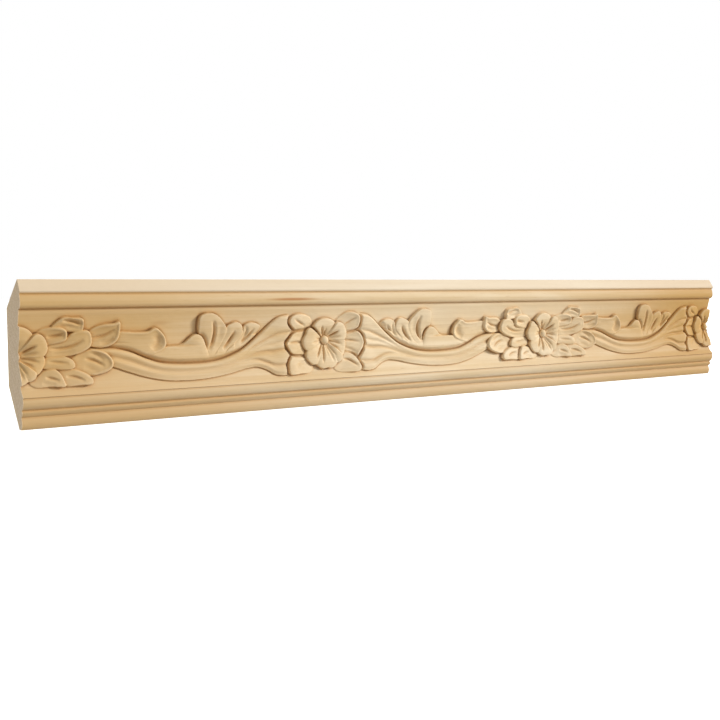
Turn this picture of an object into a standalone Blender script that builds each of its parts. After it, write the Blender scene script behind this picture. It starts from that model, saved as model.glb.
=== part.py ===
"""Carved wooden crown moulding: one sprung board with a flower and vine relief in its cove.

Sizes are in millimetres, turned to metres where the mesh is placed. The section is drawn with
depth, the distance in front of the flat back, and rise, the height over the bottom edge. The
length runs along X, the carved face looks along -Y and +Z is up. The origin is the middle of the
lower back bevel, the face that lies on the wall.

The relief is a height over the plain cove. Each form of it is laid over the ones before, in the
order in which they overlap, and is set off by a rounded edge and a fine cut line round it.
"""

import math

import bmesh
import bpy
import numpy as np
from mathutils import Vector

MM = 0.001

# Driving dimensions of the board
LENGTH = 878.0
FACE_HEIGHT = 120.0
SPRING_ANGLE = 38.0
WALL_BEVEL_DEPTH = 25.8
TOP_EDGE_DEPTH = 30.0

# Bands of the section: (depth, rise) where one form meets the next
TOP_FACET_FOOT = (36.1, 110.3)
QUIRK = (34.0, 108.0)
OVOLO_NOSE = (35.5, 99.8)
OVOLO_FOOT = (31.9, 96.3)
OVOLO_BULGE = (0.6, 0.9)
OVOLO_GROOVE = (30.8, 95.9)
COVE = ((94.8, 31.2), (89.0, 29.6), (78.0, 27.5), (68.0, 26.5), (59.0, 26.7), (47.0, 28.6), (36.0, 31.2),
        (30.5, 33.6), (26.2, 37.7))
UPPER_GROOVE = (36.7, 25.3)
UPPER_BEAD_TOP = (37.1, 24.4)
UPPER_BEAD_FOOT = (34.7, 16.8)
LOWER_FILLET = ((33.3, 15.5), (34.5, 14.1), (34.1, 12.2), (31.6, 10.1))
LOWER_BEAD_TOP = (31.9, 9.0)
LOWER_BEAD_FOOT = (31.6, 0.5)
BEAD_BULGE = 1.2
UNDERSIDE_EDGE = (31.0, 0.0)

# The carved band of the cove and the grid it is carved on, whose flat stretches are then merged
CARVED_TOP = 91.5
CARVED_FOOT = 30.0
CARVED_FADE = 1.5
RELIEF_SCALE = 1.35
GRID = 1.0
FACET_SHARE = 0.0575

# The pattern: flowers at equal steps, wide clusters and single flowers by turns
FLOWER_GAP = 292.0
FIRST_CLUSTER = -3.2
FLOWER_RISE = 60.0
VINE_NEAR = 36.0
VINE_FAR = 230.0
SINGLE_REACH = 60.0
CLUSTER_REACH = 105.0
FLOWER_REACH = 32.0
FLOWER_RADIUS = 25.0
SPRAY_HEARTS = ((0.0, -2.2, 10.0), (1.4, 0.0, 0.0))
SINGLE_HEARTS = ((1.3, 2.8, 0.0), (0.0, 0.0, 0.0))
SPRAY_DROOPS = (0.0, 4.0)
DROOP_INWARDS = 0.7
LEFT_STRETCH = 1.05
RIGHT_STRETCH = 1.04
VINE_SHIFT = 0.5
VINE_SHIFT_BACK = -3.0

# The carver's edges: a wall, a rounded rim inside it and a set-in line outside it
WALL = 0.7
SET_IN = 0.3
SET_IN_WIDTH = 1.6
EDGE_ROUND = 0.3
EDGE_WIDTH = 1.5
MARGIN = 4.0
RING_GAP = 3.4
STROKE_DEPTH = 1.4
STROKE_WIDTH = 1.35
LINE_STEPS = 6

# The open flower
PETAL_ROOT = 0.2
PETAL_CUP = (0.05, 0.7)
LIP_FALL = 0.3
PLEAT_DEPTH = 1.4
BUTTON_RADIUS = 4.4
BUTTON_FOOT = 0.5
BUTTON_CROWN = 2.6

# The vine, by distance from the single flower's centre
VINE_TOP = ((34, 86.5), (47, 86.3), (52, 85), (60, 79.5), (67.5, 73), (77.5, 64.8), (88, 57.2), (100, 51.9),
            (110, 48.8), (125, 46.6), (140, 46.2), (155, 46.8), (170, 48.8), (181, 52.6), (195, 58.6),
            (206, 61.5), (230, 63))
VINE_FOOT = ((34, 33.5), (50, 31.5), (56, 32.5), (64, 37), (73, 40), (84, 39.5), (100, 36.2),
             (120, 33.2), (145, 32), (165, 33.2), (182, 36.8), (198, 42), (212, 47), (230, 50))
VINE_CROWN = 2.5
VINE_HOLLOW = 1.3
VINE_SPLIT = 0.46
FAN_SPLIT = 0.575
FAN_LEVEL = 2.4
FAN_LINES = ((0.29, 0.22, 1.1), (0.44, 0.38, 0.8), (0.575, 0.5, 1.5), (0.83, 0.62, 1.4))
FAN_LINE_WIDTH = 1.8

# The stem over the vine, and how far its slope down to the vine runs
STEM_TOP = ((66, 70), (76, 70), (90, 67), (105, 64), (118, 62.5), (126, 62), (155, 62.2), (168, 63),
            (174, 66))
STEM_START = 72.0
STEM_LEVEL = 2.8
STEM_FALL = 1.5
GROOVE_FLOOR = -0.3
STEM_SLOPE = 5.5
LOBE_SLOPE = 8.0

WOOD_COLOUR = (0.68, 0.47, 0.26, 1.0)
WOOD_ROUGHNESS = 0.6


def ramp(low, high, value):
    """Runs smoothly from 0 at low to 1 at high."""
    share = np.clip((value - low) / (high - low), 0.0, 1.0)
    return share * share * (3.0 - 2.0 * share)


def groove(offset, width):
    """A rounded groove: 1 on its line, fading over its width."""
    return np.exp(-(offset / width) ** 2)


def curve(value, points):
    """A smooth curve through a few (place, height) points."""
    place, height = np.array(points, float).T
    slope = np.gradient(height, place)
    first = np.clip(np.searchsorted(place, value) - 1, 0, len(place) - 2)
    step = place[first + 1] - place[first]
    t = np.clip((value - place[first]) / step, 0.0, 1.0)
    start = (1 + 2 * t) * (1 - t) ** 2 * height[first] + t * (1 - t) ** 2 * step * slope[first]
    end = t * t * (3 - 2 * t) * height[first + 1] + t * t * (t - 1) * step * slope[first + 1]
    return start + end


def trace(points, closed):
    """A smooth line through a few points of the face."""
    knots = np.array(points, float)
    if closed:
        before, after, last = np.roll(knots, 1, 0), np.roll(knots, -1, 0), np.roll(knots, -2, 0)
    else:
        padded = np.vstack([2 * knots[0] - knots[1], knots, 2 * knots[-1] - knots[-2]])
        before, knots, after, last = padded[:-3], padded[1:-2], padded[2:-1], padded[3:]
    t = (np.arange(LINE_STEPS) / LINE_STEPS)[None, :, None]
    a, b, c, d = (knot[:, None, :] for knot in (before, knots, after, last))
    line = 0.5 * (2 * b + (c - a) * t + (2 * a - 5 * b + 4 * c - d) * t ** 2
                  + (3 * b - a - 3 * c + d) * t ** 3)
    line = line.reshape(-1, 2)
    end = line[:1] if closed else np.array(points[-1:], float)
    return np.vstack([line, end])


def nearest(u, v, line):
    """Distance to a line, the share of its length at the nearest point, and whether it winds round."""
    along = line[1:] - line[:-1]
    length = np.hypot(*along.T)
    travelled = np.concatenate([[0], np.cumsum(length)])
    best = np.full(u.shape, np.inf)
    share = np.zeros(u.shape)
    inside = np.zeros(u.shape, bool)
    for (au, av), (du, dv), size, from_start in zip(line[:-1], along, length, travelled):
        if size == 0:
            continue
        t = np.clip(((u - au) * du + (v - av) * dv) / size ** 2, 0, 1)
        far = np.hypot(u - au - t * du, v - av - t * dv)
        closer = far < best
        best = np.where(closer, far, best)
        share = np.where(closer, (from_start + t * size) / travelled[-1], share)
        if dv != 0:
            inside ^= ((av > v) != (av + dv > v)) & (u < au + (v - av) * du / dv)
    return best, share, inside


def tool_cut(u, v, points, depth, width):
    """A gouge stroke that starts and ends fine and is deepest in the middle."""
    far, share, _ = nearest(u, v, trace(points, False))
    return STROKE_DEPTH * depth * groove(far, STROKE_WIDTH * width) * (4 * share * (1 - share)) ** 0.8


def lay(field, edge, height, gap=0.0):
    """Lays one carved form over what is under it; edge is the distance inside its outline."""
    rounded = height - EDGE_ROUND * (1 - np.clip(edge / EDGE_WIDTH, 0, 1)) ** 2
    if gap:
        field = field * ramp(0.4 * gap, gap, -edge)
    cut = field - SET_IN * groove(np.minimum(edge + WALL, 0), SET_IN_WIDTH)
    return cut + (rounded - cut) * ramp(-WALL, WALL, edge)


def form(field, u, v, outline, root, tip, low=0.6, high=3.2, swell=0.3, rim=0.0, soft=0.0, gap=0.0,
         strokes=()):
    """A leaf or lobe: a smooth outline, rising from root to tip, domed or cupped, with tool strokes."""
    line = trace(outline, True)
    (left, bottom), (right, top) = line.min(0) - MARGIN, line.max(0) + MARGIN
    near = (u > left) & (u < right) & (v > bottom) & (v < top)
    fu, fv = u[near], v[near]
    far, _, inside = nearest(fu, fv, line)
    edge = np.where(inside, far, -far)
    axis = np.array(tip, float) - np.array(root, float)
    along = ((fu - root[0]) * axis[0] + (fv - root[1]) * axis[1]) / (axis @ axis)
    height = low + (high - low) * ramp(0.0, 1.0, along) + swell * ramp(0.5, 6.0, edge)
    height = height + rim * groove(edge - 1.6, 1.2) * ramp(0.3, 0.7, along)
    for points, depth, width in strokes:
        height = height - tool_cut(fu, fv, points, depth, width)
    under = field[near]
    laid = lay(under, edge, height, gap)
    if soft:
        laid = under + (laid - under) * ramp(0.0, soft, along)
    result = field.copy()
    result[near] = laid
    return result


def petal(field, u, v, start, stop, radius, rim=3.3, heart=0.84, tilt=0.0, crown=0.2, notch=0.0,
          notch_at=0.0, pleats=()):
    """A fan-shaped petal between two angles in degrees, tilted so that one side rides higher."""
    r = np.hypot(u, v)
    middle = math.radians((start + stop) / 2)
    half = math.radians((stop - start) / 2)
    turn = (np.arctan2(v, u) - middle + math.pi) % (2 * math.pi) - math.pi
    across = turn / half
    spread = np.minimum(np.abs(across), 1.3)
    reach = radius * (1 - (1 - heart) * spread ** 3 - notch * groove(across - notch_at, 0.25))
    edge = np.minimum(reach - r, (1 - np.abs(across)) * half * r)
    out = r / reach
    height = PETAL_ROOT + (rim - PETAL_ROOT) * ramp(*PETAL_CUP, out) - LIP_FALL * ramp(0.85, 1.0, out)
    height = height + tilt * np.clip(across, -1, 1) * np.clip(out, 0, 1)
    height = height + crown * (1 - spread ** 2) * ramp(0.1, 0.6, out)
    for offset, depth, length, width in pleats:
        fade = (1 - ramp(length - 0.2, length, out)) * ramp(0.1, 0.3, out)
        height = height - PLEAT_DEPTH * depth * groove(r * (turn - math.radians(offset)), width) * fade
    return lay(field, edge, height)


def open_flower(field, u, v, heart):
    """Seven overlapping petals round a button set off the middle, all turned clockwise by some degrees."""
    pull = np.clip(1 - np.hypot(u, v) / FLOWER_RADIUS, 0, 1)
    u, v = u - heart[0] * pull, v - heart[1] * pull
    turn = math.radians(heart[2])
    u, v = u * math.cos(turn) - v * math.sin(turn), u * math.sin(turn) + v * math.cos(turn)
    field = petal(field, u, v, -40, 9, 25, rim=2.9, heart=0.9, tilt=0.3, crown=-0.9)
    field = petal(field, u, v, -64, -31, 24.5, tilt=0.5, crown=0.2)
    field = petal(field, u, v, -122, -56, 25.3, rim=3.1, heart=0.9, tilt=0.1, notch=0.05,
                  pleats=((-13, 1.2, 0.85, 0.9), (24, 0.8, 0.9, 1.5)))
    field = petal(field, u, v, -160, -116, 26, rim=3.1, heart=0.86, tilt=-0.2,
                  pleats=((12, 1.0, 0.8, 0.9),))
    field = petal(field, u, v, 138, 203, 25, tilt=0.2, crown=0.5, notch=0.07, notch_at=-0.35)
    field = petal(field, u, v, 48, 132, 23.0, heart=0.88, tilt=0.7,
                  pleats=((18, 1.2, 0.75, 1.1), (-2, 0.9, 0.6, 1.0)))
    field = petal(field, u, v, 3, 57, 27, rim=3.7, heart=0.82, tilt=0.9, pleats=((4, 1.3, 0.75, 1.1),))
    r = np.hypot(u, v)
    button = BUTTON_FOOT + BUTTON_CROWN * np.sqrt(np.clip(1 - (r / BUTTON_RADIUS) ** 2, 0, 1))
    ring = field - SET_IN * groove(np.maximum(r - BUTTON_RADIUS, 0), 1.3)
    return np.where(r < BUTTON_RADIUS, button, ring)


def leaf_ring(field, u, v):
    """The six broad leaves behind a single flower, parted from the fans by a narrow gap."""
    field = form(field, u, v, ((20, 10), (29, 9.3), (38, 10), (43, 6), (45.5, 0), (44.5, -5), (40, -11),
                               (35, -15.5), (24, -12), (18, -2)),
                 (18, 0), (45, -1), low=0.5, high=2.9, swell=-0.3, rim=0.3, gap=RING_GAP,
                 strokes=((((22, 1.5), (31, 1), (41, -0.5)), 0.9, 0.9),))
    field = form(field, u, v, ((-12, 12), (-20, 11), (-28, 10.5), (-35, 14.5), (-39.5, 20), (-38, 25),
                               (-31, 27.5), (-23, 26.8), (-15, 23)),
                 (-14, 16), (-40, 23), low=0.4, gap=RING_GAP,
                 strokes=((((-21, 16), (-28, 19.5), (-35, 23)), 0.9, 0.9),))
    field = form(field, u, v, ((-16, -10.5), (-28, -9.5), (-35, -10.5), (-40, -15), (-42, -22),
                               (-41, -28.5), (-30, -28.3), (-18, -27.5), (-14, -20)),
                 (-16, -16), (-42, -22), low=0.5, high=3.0, gap=RING_GAP)
    field = form(field, u, v, ((-14, 11), (-25, 11), (-33, 10), (-38, 6), (-42.2, 0), (-40, -5.5),
                               (-36, -9.5), (-26, -10.5), (-14, -10)),
                 (-16, 0), (-44, 0), low=0.5, high=3.4, gap=RING_GAP,
                 strokes=((((-24, 1), (-33, 1.2), (-42, 0.5)), 1.0, 0.9),))
    field = form(field, u, v, ((14, 20), (20, 26), (27, 28.7), (35, 27.8), (40, 24), (40, 18), (38, 13),
                               (30, 10.5), (20, 10)),
                 (14, 14), (41, 25), low=0.4, swell=-0.2, rim=0.3, gap=RING_GAP,
                 strokes=((((22.5, 16), (29, 19.5), (36, 23)), 1.0, 0.9),))
    field = form(field, u, v, ((14, -12), (24, -10.5), (32, -12.5), (37.5, -18.5), (39.8, -25), (36, -28.7),
                               (26, -29.3), (14, -28.5), (9, -24)),
                 (12, -18), (40, -25), low=0.5, high=3.1, gap=RING_GAP,
                 strokes=((((20, -16.5), (28, -18), (36.5, -24)), 1.3, 1.0),))
    return field


def leaf_spray(field, u, v):
    """Eight overlapping leaves on one side of a wide cluster, from the outermost inwards."""
    field = form(field, u, v, ((60, 16), (66, 20.5), (73, 22.6), (81, 23.3), (86.8, 24.4), (87, 15),
                               (84.5, 8.5), (78, 4), (68, 3), (58, 7)),
                 (56, 8), (87, 15), high=3.2, swell=-0.6, rim=0.5,
                 strokes=((((63, 11), (73, 13), (83, 18)), 1.1, 1.0),))
    field = form(field, u, v, ((44, -8), (50, -2), (57, 1.5), (66, 2), (74, -0.5), (79.5, -6), (80, -12.5),
                               (74, -17), (62, -19.5), (50, -17)),
                 (44, -6), (80, -9), high=3.4, swell=-0.5, rim=0.6,
                 strokes=((((57, -5.5), (65, -7.5), (73, -12)), 1.1, 1.0),))
    field = form(field, u, v, ((30, 20), (34, 26), (39, 29), (47, 28.6), (54.5, 28), (56, 23), (54, 17),
                               (44, 17)),
                 (36, 14), (50, 29), low=1.4, high=3.2, swell=-0.3, rim=0.3,
                 strokes=((((38, 26.5), (46, 25.8), (55, 22.8)), 1.6, 1.1),))
    field = form(field, u, v, ((32, -14), (42, -12.5), (51, -14.5), (58, -18), (62, -22), (60.5, -26.3),
                               (51, -26.6), (40, -27), (32, -24)),
                 (30, -16), (61, -22), rim=0.2,
                 strokes=((((40, -19), (48, -20), (55, -23)), 1.0, 0.9),))
    field = form(field, u, v, ((22, -5), (30, -2), (38, -2.3), (46, -5.5), (48.3, -11), (44, -13.5),
                               (33, -13.3), (22, -12)),
                 (20, -7), (48, -9), high=2.9, swell=0.4,
                 strokes=((((26, -7), (34, -7.5), (43, -8.5)), 0.9, 0.9),))
    field = form(field, u, v, ((24, 8), (34, 10), (41, 12), (46, 16), (53, 18), (60, 17.6), (62.8, 12),
                               (62, 5), (56, 0.5), (46, -2.5), (34, -3.3), (24, -2)),
                 (24, 2), (62, 13), high=3.4, rim=0.3,
                 strokes=((((27, 4), (37, 3.5), (47, 5.5), (56, 10.5)), 1.2, 1.0),))
    field = form(field, u, v, ((10, -23), (16, -18.5), (22, -14), (31, -12.8), (35.5, -16.5), (38, -22),
                               (38.2, -27), (27, -26.5), (16, -27)),
                 (12, -20), (38, -23), rim=0.2,
                 strokes=((((23, -19), (28, -20), (34, -22)), 1.0, 0.9),))
    field = form(field, u, v, ((14, 12), (20, 19), (29, 21.2), (38, 20.5), (42, 17), (41.5, 11), (37, 8.3),
                               (26, 6.5), (16, 7)),
                 (16, 12), (43, 17), high=3.2, swell=-0.2, rim=0.5,
                 strokes=((((26, 13), (33, 14), (40, 15.5)), 1.2, 1.0),))
    return field


def scroll_leaves(field, s, rise, top):
    """The stem over the vine, the curl that ends it, its round lobe and its three upright lobes."""
    edge = np.minimum(curve(s, STEM_TOP) - rise, s - STEM_START)
    level = STEM_LEVEL - STEM_FALL * ramp(172, 212, s)
    stem = lay(field, edge, GROOVE_FLOOR + (level - GROOVE_FLOOR) * ramp(0, STEM_SLOPE, rise - top))
    field = form(stem, s, rise, ((230, 46), (206, 50), (190, 53), (177, 55), (167, 58.5), (162.8, 63),
                                 (162.5, 67), (163.8, 71), (167, 75), (171.5, 78.4), (175.5, 77.8),
                                 (180, 75.6), (190, 75.3), (206, 76.3), (230, 77)),
                 (210, 60), (170, 76), low=2.0, high=3.1, swell=-0.3, rim=0.4,
                 strokes=((((176, 60), (170, 66), (172, 73)), 1.2, 2.6),))
    field = form(field, s, rise, ((124, 46), (124, 57), (125.5, 64.5), (128.5, 69.8), (132.5, 71.8),
                                  (137, 71.2), (141, 68.3), (145, 64.8), (150, 62.8), (157, 61.5), (160, 54),
                                  (148, 46)),
                 (140, 50), (131, 70), low=2.6, high=3.0, soft=0.8)
    field = form(field, s, rise, ((94, 52), (86, 58), (80, 63), (73, 70), (69.5, 76), (71.5, 79), (77, 80.8),
                                  (82, 80.4), (86.5, 78), (89, 70), (96, 62)),
                 (95, 53), (76, 81), low=1.8, high=2.6, soft=0.35,
                 strokes=((((89, 63), (83, 68), (76, 75.5)), 1.2, 0.9),
                          (((86, 79), (84, 74), (86.5, 67), (91, 61)), 0.9, 1.1)))
    field = form(field, s, rise, ((112, 50), (102, 58), (94, 64), (88.5, 70), (88, 76), (90.5, 80.3),
                                  (94.5, 81.6), (99.5, 80.5), (104.5, 77.4), (106, 70), (112, 62)),
                 (110, 51), (94, 81), low=1.8, high=2.8, soft=0.3,
                 strokes=((((108, 57.5), (101, 65), (95.5, 74)), 1.4, 1.0),))
    field = form(field, s, rise, ((121, 50), (113, 57), (107, 66), (104, 74), (105.5, 79), (109.5, 83.8),
                                  (114.5, 88.2), (120, 90.2), (126, 90), (131, 87.8), (132.3, 82),
                                  (131.8, 73.5), (128, 69.5), (125, 64), (123.5, 58)),
                 (121, 50), (124, 90), low=1.8, high=3.3, soft=0.25,
                 strokes=((((122, 57), (117.5, 65), (116, 74), (118.5, 84)), 1.9, 1.2),
                          (((123.3, 57.5), (124.5, 64), (127.5, 70), (131.5, 72.8)), 1.5, 1.2)))
    return stem + (field - stem) * ramp(0, LOBE_SLOPE, rise - top)


def vine(field, s, rise, leaf_shift):
    """A broad band with a soft hollow that sags between the flowers and opens into a ribbed fan."""
    top = curve(s, VINE_TOP)
    width = top - curve(s, VINE_FOOT)
    over = top - rise
    under = width - over
    fan = 1 - ramp(60, 95, s)
    split = VINE_SPLIT + (FAN_SPLIT - VINE_SPLIT) * fan
    band = VINE_CROWN - VINE_HOLLOW * groove(over - split * width, 2.4) - 1.3 * (1 - ramp(0.0, 6.0, under))
    ribs = FAN_LEVEL + 0.6 * (1 - ramp(46, 60, s)) - 1.2 * (1 - ramp(0.0, 4.0, under))
    for at_flower, at_neck, depth in FAN_LINES:
        line = at_neck + (at_flower - at_neck) * fan ** 0.8
        ribs = ribs - depth * groove(over - line * width, FAN_LINE_WIDTH)
    opened = 1 - ramp(70, 110, s)
    height = band * (1 - opened) + ribs * opened
    rounding = np.sqrt(1 - (1 - np.clip(over / 3.5, 0, 1)) ** 2)
    body = GROOVE_FLOOR + (height - GROOVE_FLOOR) * rounding
    beside = np.where(over < 0.5 * width, scroll_leaves(field, s - leaf_shift, rise, top), field)
    cut = beside - 0.5 * groove(np.minimum(np.minimum(over, under), 0), 1.2)
    return cut + (body - cut) * ramp(-WALL, WALL, over) * ramp(-WALL, WALL, under)


def relief(x, rise):
    """Height of the carving over the plain cove."""
    field = np.zeros_like(x)
    v = rise - FLOWER_RISE
    clusters = (FIRST_CLUSTER, FIRST_CLUSTER + 2 * FLOWER_GAP)
    singles = (FIRST_CLUSTER + FLOWER_GAP, FIRST_CLUSTER + 3 * FLOWER_GAP)
    vines = ((singles[0], -1, VINE_SHIFT), (singles[0], 1, VINE_SHIFT_BACK), (singles[1], -1, VINE_SHIFT))
    for centre, side, leaf_shift in vines:
        s = (x - centre) * side
        near = (s > VINE_NEAR) & (s < VINE_FAR)
        field[near] = vine(field[near], s[near], rise[near], leaf_shift)
    for centre, heart in zip(singles, SINGLE_HEARTS):
        near = np.abs(x - centre) < SINGLE_REACH
        u = (x - centre)[near]
        field[near] = open_flower(leaf_ring(field[near], u, v[near]), u, v[near], heart)
    for centre, heart, droop in zip(clusters, SPRAY_HEARTS, SPRAY_DROOPS):
        for side, stretch in ((1, RIGHT_STRETCH if centre > 0 else 1.0), (-1, LEFT_STRETCH)):
            out = (x - centre) * side
            near = (out >= 0) & (out < CLUSTER_REACH)
            hang = droop * ramp(45, 85, out[near]) * ramp(0, 20, v[near])
            field[near] = leaf_spray(field[near], out[near] / stretch + DROOP_INWARDS * hang, v[near] + hang)
        near = np.abs(x - centre) < FLOWER_REACH
        field[near] = open_flower(field[near], (x - centre)[near], v[near], heart)
    inside = ramp(CARVED_FOOT, CARVED_FOOT + CARVED_FADE, rise)
    return RELIEF_SCALE * field * inside * (1 - ramp(CARVED_TOP - CARVED_FADE, CARVED_TOP, rise))


def arc(start, end, bulge, steps):
    """Points of a circular arc that leaves the straight line start to end by bulge."""
    start, end = Vector(start), Vector(end)
    chord = end - start
    normal = Vector((-chord.y, chord.x)).normalized()
    radius = (chord.length_squared / 4 + bulge ** 2) / (2 * bulge)
    reach = math.asin(chord.length / 2 / radius)
    points = []
    for i in range(steps + 1):
        angle = reach * (2 * i / steps - 1)
        centre_line = start + chord * (0.5 + math.sin(angle) * radius / chord.length)
        points.append(tuple(centre_line + normal * (math.cos(angle) - math.cos(reach)) * radius))
    return points


def section():
    """The closed outline of the board, (depth, rise), from the top edge down the front and round."""
    wall_bevel_rise = WALL_BEVEL_DEPTH / math.tan(math.radians(SPRING_ANGLE))
    ceiling_bevel_fall = TOP_EDGE_DEPTH * math.tan(math.radians(SPRING_ANGLE))
    rows = round((CARVED_TOP - CARVED_FOOT) / GRID)
    carved = np.linspace(CARVED_TOP, CARVED_FOOT, rows + 1)
    rises = [COVE[0][0], *carved, (CARVED_FOOT + COVE[-1][0]) / 2, COVE[-1][0]]
    cove = sorted((rise, depth) for rise, depth in COVE)
    outline = [(TOP_EDGE_DEPTH, FACE_HEIGHT), TOP_FACET_FOOT]
    outline += arc(QUIRK, OVOLO_NOSE, OVOLO_BULGE[0], 3)
    outline += arc(OVOLO_NOSE, OVOLO_FOOT, OVOLO_BULGE[1], 3)[1:]
    outline += [OVOLO_GROOVE]
    outline += [(float(curve(rise, cove)), float(rise)) for rise in rises]
    outline += [UPPER_GROOVE]
    outline += arc(UPPER_BEAD_TOP, UPPER_BEAD_FOOT, BEAD_BULGE, 4)
    outline += LOWER_FILLET
    outline += arc(LOWER_BEAD_TOP, LOWER_BEAD_FOOT, BEAD_BULGE, 4)
    outline += [UNDERSIDE_EDGE, (WALL_BEVEL_DEPTH, 0.0), (0.0, wall_bevel_rise),
                (0.0, FACE_HEIGHT - ceiling_bevel_fall)]
    return outline


def place(x, depth, rise):
    """Turns a point of the board, in millimetres, into the part's own frame in metres."""
    wall_face_rise = WALL_BEVEL_DEPTH / math.tan(math.radians(SPRING_ANGLE)) / 2
    return Vector((x - LENGTH / 2, WALL_BEVEL_DEPTH / 2 - depth, rise - wall_face_rise)) * MM


def carve_board():
    """Wraps a fine grid round the section, raises the carving on it and closes both ends."""
    outline = section()
    columns = round(LENGTH / GRID)
    rows = len(outline)
    bm = bmesh.new()
    bmesh.ops.create_grid(bm, x_segments=columns, y_segments=rows, size=0.5)
    verts = list(bm.verts)
    column = np.array([round((vert.co.x + 0.5) * columns) for vert in verts])
    row = np.array([round((vert.co.y + 0.5) * rows) for vert in verts]) % rows
    depth = np.array([point[0] for point in outline])[row]
    rise = np.array([point[1] for point in outline])[row]
    x = column * LENGTH / columns
    carved = (rise > CARVED_FOOT) & (rise < CARVED_TOP) & (depth > TOP_EDGE_DEPTH / 2)
    depth[carved] += relief(x[carved], rise[carved])
    for vert, along, front, up in zip(verts, x, depth, rise):
        vert.co = place(float(along), float(front), float(up))
    bmesh.ops.remove_doubles(bm, verts=bm.verts, dist=1e-6)
    ends = [edge for edge in bm.edges if edge.is_boundary]
    bmesh.ops.holes_fill(bm, edges=ends, sides=0)
    bmesh.ops.recalc_face_normals(bm, faces=bm.faces)
    return bm


def wood():
    """Pale, close-grained hardwood, sanded and left bare."""
    material = bpy.data.materials.new("bare_hardwood")
    material.use_nodes = True
    shader = material.node_tree.nodes["Principled BSDF"]
    shader.inputs["Base Color"].default_value = WOOD_COLOUR
    shader.inputs["Roughness"].default_value = WOOD_ROUGHNESS
    shader.inputs["Metallic"].default_value = 0.0
    return material


def build():
    """Makes the moulding, its carving reduced to facets that show from a step away."""
    bm = carve_board()
    mesh = bpy.data.meshes.new("crown_moulding")
    bm.to_mesh(mesh)
    bm.free()
    mesh.materials.append(wood())
    board = bpy.data.objects.new("crown_moulding", mesh)
    bpy.context.scene.collection.objects.link(board)
    facets = board.modifiers.new("facets", "DECIMATE")
    facets.ratio = FACET_SHARE
    facets.use_collapse_triangulate = True
    return board


for old in list(bpy.data.objects):
    bpy.data.objects.remove(old, do_unlink=True)
build()
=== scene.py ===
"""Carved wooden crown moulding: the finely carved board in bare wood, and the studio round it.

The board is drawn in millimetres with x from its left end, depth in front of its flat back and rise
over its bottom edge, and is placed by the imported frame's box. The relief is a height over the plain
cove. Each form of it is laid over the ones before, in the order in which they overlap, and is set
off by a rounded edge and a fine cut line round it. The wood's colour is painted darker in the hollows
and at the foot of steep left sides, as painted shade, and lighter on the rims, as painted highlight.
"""

import math

import bmesh
import bpy
import numpy as np
from bpy.props import FloatProperty, FloatVectorProperty, IntProperty, PointerProperty
from mathutils import Matrix, Vector


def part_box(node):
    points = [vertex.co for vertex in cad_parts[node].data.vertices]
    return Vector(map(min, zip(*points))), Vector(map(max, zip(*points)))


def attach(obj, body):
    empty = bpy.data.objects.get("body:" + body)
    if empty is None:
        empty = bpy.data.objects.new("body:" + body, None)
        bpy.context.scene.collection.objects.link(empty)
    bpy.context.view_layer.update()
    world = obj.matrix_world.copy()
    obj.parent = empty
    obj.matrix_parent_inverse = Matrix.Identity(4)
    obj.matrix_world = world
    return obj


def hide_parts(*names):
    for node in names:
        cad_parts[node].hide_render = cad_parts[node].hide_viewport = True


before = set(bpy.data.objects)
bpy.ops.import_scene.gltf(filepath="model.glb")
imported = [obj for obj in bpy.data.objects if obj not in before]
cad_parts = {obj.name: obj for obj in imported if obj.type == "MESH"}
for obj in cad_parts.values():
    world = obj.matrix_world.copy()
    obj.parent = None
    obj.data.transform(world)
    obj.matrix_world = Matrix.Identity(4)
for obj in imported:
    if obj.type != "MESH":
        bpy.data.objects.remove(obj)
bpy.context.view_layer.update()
BOARD_LOW, BOARD_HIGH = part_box("crown_moulding")

bl_info = {
    "name": "Carved Crown Moulding",
    "version": (1, 0, 0),
    "blender": (4, 5, 0),
    "location": "View3D > Sidebar > Moulding",
    "description": "A length of carved wooden crown moulding and the studio that shows it",
    "category": "Add Mesh",
}

MM = 0.001

# Driving dimensions of the board, its length, face and thickness read from the frame
LENGTH = (BOARD_HIGH[0] - BOARD_LOW[0]) / MM
THICKNESS = (BOARD_HIGH[1] - BOARD_LOW[1]) / MM
FACE_HEIGHT = (BOARD_HIGH[2] - BOARD_LOW[2]) / MM
SPRING_ANGLE = 38.0
WALL_BEVEL_DEPTH = 25.8
TOP_EDGE_DEPTH = 30.0

# Bands of the section: (depth, rise) where one form meets the next, but (rise, depth) in the cove
TOP_FACET_FOOT = (36.1, 110.3)
QUIRK = (34.0, 108.0)
OVOLO_NOSE = (35.5, 99.8)
OVOLO_FOOT = (31.9, 96.3)
OVOLO_BULGE = (0.6, 0.9)
OVOLO_GROOVE = (30.8, 95.9)
COVE = ((94.8, 31.2), (89.0, 29.6), (78.0, 27.5), (68.0, 26.5), (59.0, 26.7), (47.0, 28.6), (36.0, 31.2),
        (30.5, 33.6), (26.2, 37.7))
UPPER_GROOVE = (36.7, 25.3)
UPPER_BEAD_TOP = (37.1, 24.4)
UPPER_BEAD_FOOT = (34.7, 16.8)
LOWER_FILLET = ((33.3, 15.5), (34.5, 14.1), (34.1, 12.2), (31.6, 10.1))
LOWER_BEAD_TOP = (31.9, 9.0)
LOWER_BEAD_FOOT = (31.6, 0.5)
BEAD_BULGE = 1.2
UNDERSIDE_EDGE = (31.0, 0.0)
ARC_STEPS = 12
ARRIS = 0.4
SHARP_ANGLE = 42.0

# The carved band of the cove, and the depth past which a point is on the front
CARVED_TOP = 91.5
CARVED_FOOT = 30.0
CARVED_FADE = 1.5
RELIEF_SCALE = 1.35
FRONT_FROM = TOP_EDGE_DEPTH / 2

# The mesh: grid rows under the carved band, welding distance in metres, how squarely an end faces
FOOT_ROWS = 4
WELD_DISTANCE = 1e-6
END_FACING = 0.999
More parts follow.
